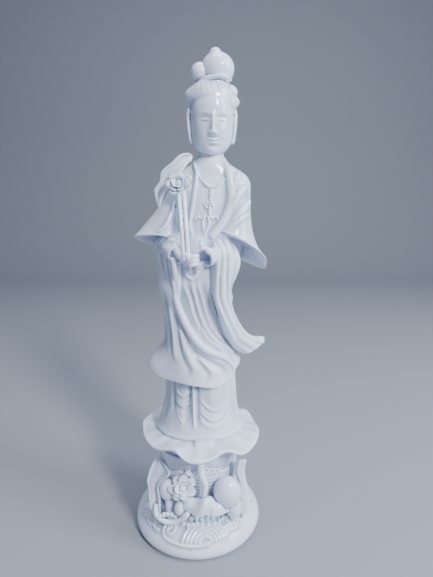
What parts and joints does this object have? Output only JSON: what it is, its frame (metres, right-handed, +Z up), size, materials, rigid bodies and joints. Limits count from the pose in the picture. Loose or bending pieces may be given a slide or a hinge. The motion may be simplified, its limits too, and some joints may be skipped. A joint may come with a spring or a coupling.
{
  "type": "guanyin figure",
  "caption": "Slender standing Guanyin of white glazed porcelain in flowing robes, holding a lotus spray, on a lotus-leaf and wave pedestal fired in one with it.",
  "frame": {"origin": "middle of the flat underside the figure stands on", "axes": "+Z up; the figure faces -Y; +X is to the viewer's right when facing it, the side of the figure's own left hand"},
  "size_m": [0.0947, 0.09, 0.3188],
  "materials": {
    "white_glazed_porcelain": "clear glossy glaze over white porcelain"
  },
  "bodies": {
    "root": {"guanyin_figure": "white_glazed_porcelain"}
  },
  "joints": []
}
